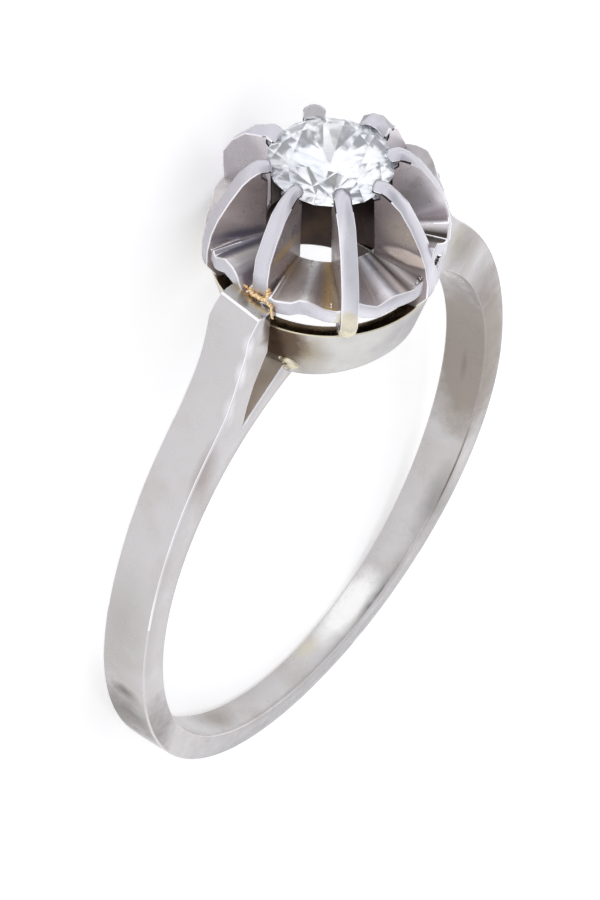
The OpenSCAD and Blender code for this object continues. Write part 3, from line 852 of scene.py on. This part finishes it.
def around(degrees, r, z):
    """A place that far around the stone and that far from its axis."""
    return (r * math.cos(math.radians(degrees)), r * math.sin(math.radians(degrees)), z)


print("the front claw stands at", [round(c, 2) for c in around(FEET[5], CLAW_R, 0)[:2]], "mm")

# %% [markdown]
# Golden solder ran round the fifth claw, where it stands on the left shoulder, and along the top of the
# right one. A few drops hold the plate to its claws. A thicker web of metal closes the corner between
# the seventh claw and the right shoulder, and pale fillets fill the corners where each inner branch
# meets the collar and lie round the foot of the front claw.

# %% Solder the parts
# Each seam: its start, its end, how many beads, their half size and how far they stray.
GOLDEN_SEAMS = [
    ((-3.46, 0.70, 11.80), (-3.55, 0.19, 11.80), 8, 0.05, 0.02),
    ((-3.56, 0.19, 11.82), (-3.68, -0.05, 11.83), 7, 0.07, 0.03),
    ((-3.68, -0.05, 11.83), (-3.66, -0.45, 11.86), 9, 0.075, 0.035),
    ((-3.46, -0.46, 12.10), (-3.58, -0.48, 11.86), 8, 0.08, 0.05),
    ((-3.60, -0.50, 11.84), (-3.72, -0.74, 11.78), 9, 0.07, 0.035),
    ((-3.76, -0.78, 11.74), (-3.72, -0.83, 11.40), 7, 0.05, 0.015),
    ((3.60, 0.62, 11.76), (3.66, -0.62, 11.76), 16, 0.06, 0.03),
]
CLAW_SEAMS = [
    (around(219, 3.5, 12.15), around(222, 3.66, 11.75), 6, 0.05, 0.05),
    (around(287, 3.66, 12.0), around(291, 3.7, 12.1), 4, 0.06, 0.04),
    (around(265, 3.6, 12.05), around(270, 3.62, 12.1), 6, 0.035, 0.04),
]
beads("golden_solder", solder_metal, [bead for line in GOLDEN_SEAMS for bead in seam(*line)])
# The drops that hold the plate take the bright edge finish, painted highlight and all.
beads("claw_solder", edge_metal, [bead for line in CLAW_SEAMS for bead in seam(*line)])

# Each drop of the web: degrees around the stone, distance from its axis, height, and half size up.
WEB = [
    (280, 3.54, 11.3, 0.6), (285, 3.53, 11.22, 0.55), (290, 3.52, 11.12, 0.5), (295, 3.5, 11.02, 0.45),
    (301, 3.48, 10.94, 0.36),
]
WEB_THICK, WEB_WIDE = 0.13, 0.26
web = [(around(way, r, z), (WEB_THICK, WEB_WIDE, tall), way) for way, r, z, tall in WEB]
beads("foot_fillet", claw_metal, web)

fillets = [(around(228, 3.58, 11.12), (0.22, 0.33, 0.40), 228)]
for side in (-1, 1):
    fillets += [
        ((side * 3.02, 0.35, 8.98), (0.12, 0.40, 0.12), 0),
        ((side * 2.98, -0.90, 9.10), (0.10, 0.28, 0.12), -side * 17),
        ((side * 2.86, -0.98, 8.88), (0.14, 0.30, 0.20), -side * 19),
        ((side * 2.74, -0.84, 8.72), (0.26, 0.10, 0.18), 0),
    ]
beads("pale_solder_fillets", pale_solder, fillets)

# %% [markdown]
# The diamond is a round brilliant. Its solid already has every facet, so the imported node itself is
# shown, with a clear material. Diamond bends light more than nearly every other gem, which its index
# of refraction of 2.42 stands for. Small patches of colder and warmer white are painted light for its
# fire, and a faint bluish glow of its own is painted light that lightens its dark facets.

# %% Make the stone clear
DIAMOND_IOR = 2.42
# Painted fire, in patches to a metre.
TINT_PATCHES = 1500
COLD_WHITE, WARM_WHITE = (0.88, 0.93, 1.0, 1), (1.0, 0.99, 0.97, 1)

stone = frame["nodes"]["diamond"]
clear = bpy.data.materials.new("clear_diamond")
clear.use_nodes = True
tree = clear.node_tree
glass = tree.nodes["Principled BSDF"]
glass.inputs["Transmission Weight"].default_value = 1.0
glass.inputs["IOR"].default_value = DIAMOND_IOR
glass.inputs["Roughness"].default_value = 0.075
# A faint bluish glow: painted light that lightens the dark facets.
glass.inputs["Emission Color"].default_value = (0.80, 0.86, 1.0, 1)
glass.inputs["Emission Strength"].default_value = 0.03
place = tree.nodes.new("ShaderNodeTexCoord")
tints = tree.nodes.new("ShaderNodeTexVoronoi")
tints.inputs["Scale"].default_value = TINT_PATCHES
ramp = tree.nodes.new("ShaderNodeValToRGB")
ramp.color_ramp.elements[0].color = COLD_WHITE
ramp.color_ramp.elements[1].color = WARM_WHITE
tree.links.new(place.outputs["Object"], tints.inputs["Vector"])
tree.links.new(tints.outputs["Distance"], ramp.inputs["Fac"])
tree.links.new(ramp.outputs["Color"], glass.inputs["Base Color"])
stone.data.materials.clear()
stone.data.materials.append(clear)

# %% [markdown]
# The ring is photographed on a plain white table. The table glows a little by itself, as a sheet of
# paper over a light box does, so that it stays white in the photograph, and the metal mirrors it.

# %% Table
bpy.ops.mesh.primitive_plane_add(size=4, location=(0, 0, 0))
table = bpy.context.object
table.name = "table"
white = bpy.data.materials.new("white_table")
white.use_nodes = True
sheet = white.node_tree.nodes["Principled BSDF"]
sheet.inputs["Roughness"].default_value = 0.9
sheet.inputs["Specular IOR Level"].default_value = 0.1
sheet.inputs["Emission Color"].default_value = (1, 1, 1, 1)
sheet.inputs["Emission Strength"].default_value = 0.36
grain = white.node_tree.nodes.new("ShaderNodeTexNoise")
grain.inputs["Scale"].default_value = 900
paper = white.node_tree.nodes.new("ShaderNodeValToRGB")
paper.color_ramp.elements[0].color = (0.90, 0.90, 0.90, 1)
paper.color_ramp.elements[1].color = (0.94, 0.94, 0.94, 1)
white.node_tree.links.new(grain.outputs["Fac"], paper.inputs["Fac"])
white.node_tree.links.new(paper.outputs["Color"], sheet.inputs["Base Color"])
table.data.materials.append(white)
print("table:", table.dimensions.x, "m wide")

# %% [markdown]
# Polished metal shows what is around it, so the room matters more than the lamps. Its walls are bright
# at the height of the big soft panels and darker overhead and at the floor, which draws the highlights
# and shades of the metal. One weak panel overhead gives the ring its soft shadow.

# %% Room and light
# Bands of the wall, from the horizon, at 0, to straight up, at 1: how high each is and how bright.
BRIGHT_BANDS = ((0.14, 1.22), (0.42, 1.15), (0.66, 0.98))
FLOOR_TONE, CEILING_TONE, CEILING_FROM = (0.55, 0.54, 0.56, 1), (0.46, 0.47, 0.50, 1), 0.88
COLDER = 1.02
RING_MIDDLE = Vector((0, 0, 0.004))

world = bpy.data.worlds.new("room")
bpy.context.scene.world = world
world.use_nodes = True
room = world.node_tree.nodes["Background"]
where = world.node_tree.nodes.new("ShaderNodeTexCoord")
height = world.node_tree.nodes.new("ShaderNodeSeparateXYZ")
walls = world.node_tree.nodes.new("ShaderNodeValToRGB")
walls.color_ramp.elements[0].position, walls.color_ramp.elements[0].color = 0.0, FLOOR_TONE
walls.color_ramp.elements[1].position, walls.color_ramp.elements[1].color = CEILING_FROM, CEILING_TONE
for spot, glow in BRIGHT_BANDS:
    walls.color_ramp.elements.new(spot).color = (glow, glow, glow * COLDER, 1)
world.node_tree.links.new(where.outputs["Generated"], height.inputs["Vector"])
world.node_tree.links.new(height.outputs["Z"], walls.inputs["Fac"])
world.node_tree.links.new(walls.outputs["Color"], room.inputs["Color"])
room.inputs["Strength"].default_value = 1.0


def panel(name, spot, size, power):
    """A soft square light that faces the ring. spot is in metres."""
    lamp = bpy.data.lights.new(name, "AREA")
    lamp.shape, lamp.size, lamp.energy = "SQUARE", size, power
    holder = bpy.data.objects.new(name, lamp)
    bpy.context.scene.collection.objects.link(holder)
    holder.location = spot
    holder.rotation_mode = "QUATERNION"
    holder.rotation_quaternion = (RING_MIDDLE - Vector(spot)).to_track_quat("-Z", "Y")
    print(name, "at", spot)


panel("overhead_panel", spot=(0.0, 0.0, 0.45), size=0.5, power=0.2)
bpy.context.scene.view_settings.view_transform = "Standard"

# %% [markdown]
# The camera stands where the photographer's did. Its place was found against the upright ring, so it
# is given in the upright ring's own directions, and goes through the same laying-down matrix. It is
# far away with a long lens, which is how small goods are usually photographed.

# %% Camera
# AIM and AWAY are in upright millimetres, and the lens is as long as FOCAL_PX pixels of the photo.
AZIMUTH, HEIGHT, ROLL = math.radians(-55.12), math.radians(46.291), math.radians(3.681)
AIM, AWAY = Vector((-0.649, 0, 2.610)), 156.869
PHOTO_H, FOCAL_PX = 900, 4940.28
level = math.cos(HEIGHT)
back = Vector((math.sin(AZIMUTH) * level, -math.cos(AZIMUTH) * level, math.sin(HEIGHT)))
right = Vector((math.cos(AZIMUTH), math.sin(AZIMUTH), 0))
up = back.cross(right)
right, up = math.cos(ROLL) * right + math.sin(ROLL) * up, math.cos(ROLL) * up - math.sin(ROLL) * right
camera = bpy.data.cameras.new("camera")
camera.sensor_width = 36
camera.lens = camera.sensor_width * FOCAL_PX / PHOTO_H
camera.clip_start, camera.clip_end = 0.01, 10
stand = bpy.data.objects.new("camera", camera)
bpy.context.scene.collection.objects.link(stand)
eye = LAY @ (AIM + back * AWAY)
axes = Matrix([turn.to_3x3() @ a for a in (right, up, back)]).transposed().to_4x4()
stand.matrix_world = Matrix.Translation(eye) @ axes
bpy.context.scene.camera = stand
print("camera at", [round(c, 4) for c in eye], "lens", round(camera.lens, 1), "mm")
